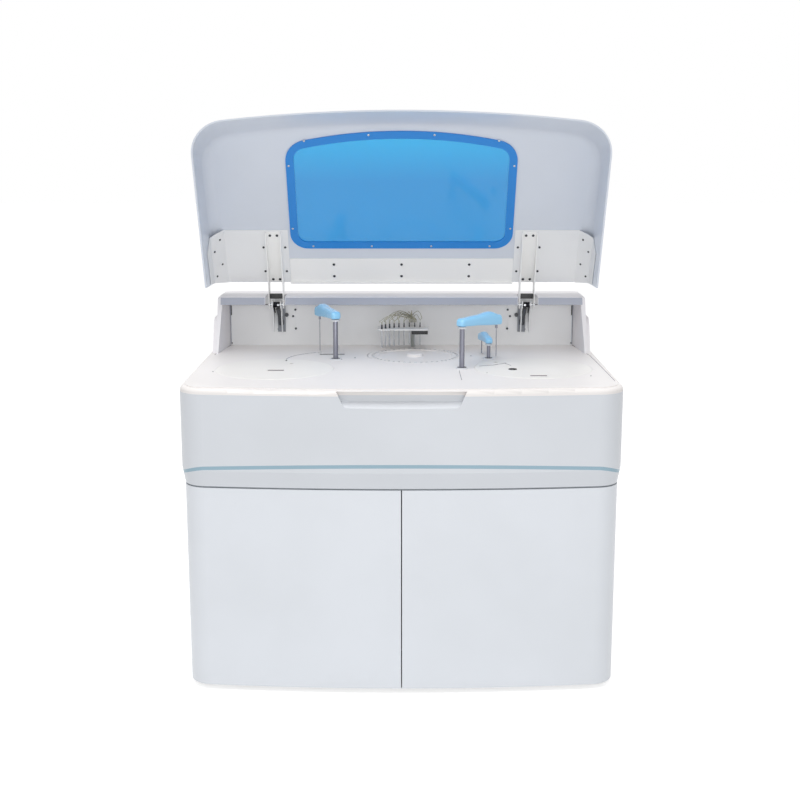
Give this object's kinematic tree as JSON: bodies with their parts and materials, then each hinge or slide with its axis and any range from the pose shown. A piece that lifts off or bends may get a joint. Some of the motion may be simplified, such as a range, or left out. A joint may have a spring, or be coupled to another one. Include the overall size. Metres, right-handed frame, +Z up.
{
  "type": "chemistry analyzer",
  "caption": "Floor-standing clinical chemistry analyzer: two-door cabinet, white deck with probe arms and disks, and a raised hood lid with a blue window.",
  "frame": {"origin": "centre of the footprint on the floor", "axes": "+X to the right, +Y to the rear, +Z up, seen from the front"},
  "size_m": [1.216, 0.86, 1.6044],
  "materials": {
    "white_shell": "satin moulded white",
    "white_deck": "satin white",
    "white_metal": "powder coated off-white",
    "grey_panel": "powder coated light grey",
    "accent": "satin grey-blue",
    "frame_paint": "powder coated dark grey",
    "steel": "brushed",
    "dark_spring": "oiled dark",
    "window_blue": "satin blue",
    "pane_blue": "tinted blue",
    "arm_blue": "gloss light blue",
    "disk_cover": "satin white",
    "rotor": "satin grey",
    "clear_cup": "clear",
    "drive_grey": "painted",
    "tank": "translucent natural",
    "cap_blue": "satin",
    "black_plastic": "matt black",
    "aluminium": "anodised",
    "wash_grey": "satin grey"
  },
  "bodies": {
    "cabinet": {"base_frame": "frame_paint", "levelling_feet": "steel", "floor_plate": "white_metal", "left_side_panel": "white_metal", "right_side_panel": "white_metal", "rear_panel": "white_metal", "mid_shelf": "aluminium", "upper_housing": "white_shell", "accent_strip": "accent", "deck_cover": "white_deck", "riser_cover": "white_shell", "riser_back_panel": "grey_panel", "left_hinge_stand": "grey_panel", "right_hinge_stand": "grey_panel", "hinge_pins": "steel", "hinge_springs": "dark_spring", "door_pivots": "steel", "sample_disk_cover": "disk_cover", "reagent_disk_cover": "disk_cover", "drive_units": "drive_grey", "electronics_box": "aluminium", "fluid_tanks": "tank", "tank_caps": "cap_blue", "power_inlet": "black_plastic", "fan_frame": "black_plastic", "syringe_pump": "aluminium"},
    "lid": {"lid_shell": "white_shell", "window_frame": "window_blue", "window_pane": "pane_blue", "window_screws": "steel", "left_lid_plate": "white_metal", "right_lid_plate": "white_metal", "lid_cross_bar": "white_metal", "left_lid_arm": "white_metal", "right_lid_arm": "white_metal", "lid_screws": "steel"},
    "left_door": {"left_door": "white_metal"},
    "right_door": {"right_door": "white_metal"},
    "sample_bush": {"sample_arm_bush": "white_metal"},
    "sample_arm": {"sample_arm_post": "steel", "sample_arm_cover": "arm_blue", "sample_probe": "steel"},
    "reagent_bush": {"reagent_arm_bush": "white_metal"},
    "reagent_arm": {"reagent_arm_post": "steel", "reagent_arm_cover": "arm_blue", "reagent_probe": "steel"},
    "mixer_bush": {"mixer_arm_bush": "white_metal"},
    "mixer_arm": {"mixer_arm_post": "steel", "mixer_arm_cover": "arm_blue", "mixer_paddle": "steel"},
    "wash_lift": {"wash_post": "aluminium", "wash_head": "wash_grey", "wash_nozzles": "steel"},
    "reaction_disk": {"reaction_disk": "aluminium", "cuvettes": "clear_cup"},
    "sample_rotor": {"sample_rotor": "rotor"},
    "reagent_rotor": {"reagent_rotor": "rotor"},
    "rocker": {"rocker_switch": "black_plastic"},
    "fan_impeller": {"fan_impeller": "black_plastic"},
    "syringe_plunger": {"syringe_plunger": "steel"}
  },
  "joints": [
    {"name": "lid_hinge", "type": "hinge", "parent": "cabinet", "child": "lid", "pos_m": [0, 0.306, 1.0065], "axis": [1, 0, 0], "range_deg": [0, 65]},
    {"name": "left_door_hinge", "type": "hinge", "parent": "cabinet", "child": "left_door", "pos_m": [-0.592, -0.306, 0.3], "axis": [0, 0, -1], "range_deg": [0, 100]},
    {"name": "right_door_hinge", "type": "hinge", "parent": "cabinet", "child": "right_door", "pos_m": [0.592, -0.306, 0.3], "axis": [0, 0, 1], "range_deg": [0, 100]},
    {"name": "sample_arm_turn", "type": "hinge", "parent": "cabinet", "child": "sample_bush", "pos_m": [-0.2, 0.065, 0.868], "axis": [0, 0, -1], "range_deg": [-100, 70]},
    {"name": "sample_arm_lift", "type": "slide", "parent": "sample_bush", "child": "sample_arm", "axis": [0, 0, 1], "range_m": [-0.07, 0]},
    {"name": "reagent_arm_turn", "type": "hinge", "parent": "cabinet", "child": "reagent_bush", "pos_m": [0.176, -0.095, 0.868], "axis": [0, 0, 1], "range_deg": [-51, 74]},
    {"name": "reagent_arm_lift", "type": "slide", "parent": "reagent_bush", "child": "reagent_arm", "axis": [0, 0, 1], "range_m": [-0.07, 0]},
    {"name": "mixer_arm_turn", "type": "hinge", "parent": "cabinet", "child": "mixer_bush", "pos_m": [0.265, 0.074, 0.868], "axis": [0, 0, 1], "range_deg": [0, 59]},
    {"name": "mixer_arm_lift", "type": "slide", "parent": "mixer_bush", "child": "mixer_arm", "axis": [0, 0, 1], "range_m": [-0.03, 0]},
    {"name": "wash_station_lift", "type": "slide", "parent": "cabinet", "child": "wash_lift", "axis": [0, 0, 1], "range_m": [-0.034, 0]},
    {"name": "reaction_disk_turn", "type": "hinge", "parent": "cabinet", "child": "reaction_disk", "pos_m": [0.042, 0.149, 0.868], "axis": [0, 0, 1], "continuous": true},
    {"name": "sample_rotor_turn", "type": "hinge", "parent": "cabinet", "child": "sample_rotor", "pos_m": [-0.37, -0.1, 0.8], "axis": [0, 0, 1], "continuous": true},
    {"name": "reagent_rotor_turn", "type": "hinge", "parent": "cabinet", "child": "reagent_rotor", "pos_m": [0.385, -0.085, 0.8], "axis": [0, 0, 1], "continuous": true},
    {"name": "rocker_tip", "type": "hinge", "parent": "cabinet", "child": "rocker", "pos_m": [-0.28, 0.42, 0.505], "axis": [1, 0, 0], "range_deg": [-7, 7]},
    {"name": "fan_spin", "type": "hinge", "parent": "cabinet", "child": "fan_impeller", "pos_m": [0.3, 0.412, 0.43], "axis": [0, 1, 0], "continuous": true},
    {"name": "syringe_stroke", "type": "slide", "parent": "cabinet", "child": "syringe_plunger", "axis": [0, 0, 1], "range_m": [-0.034, 0.018]}
  ]
}
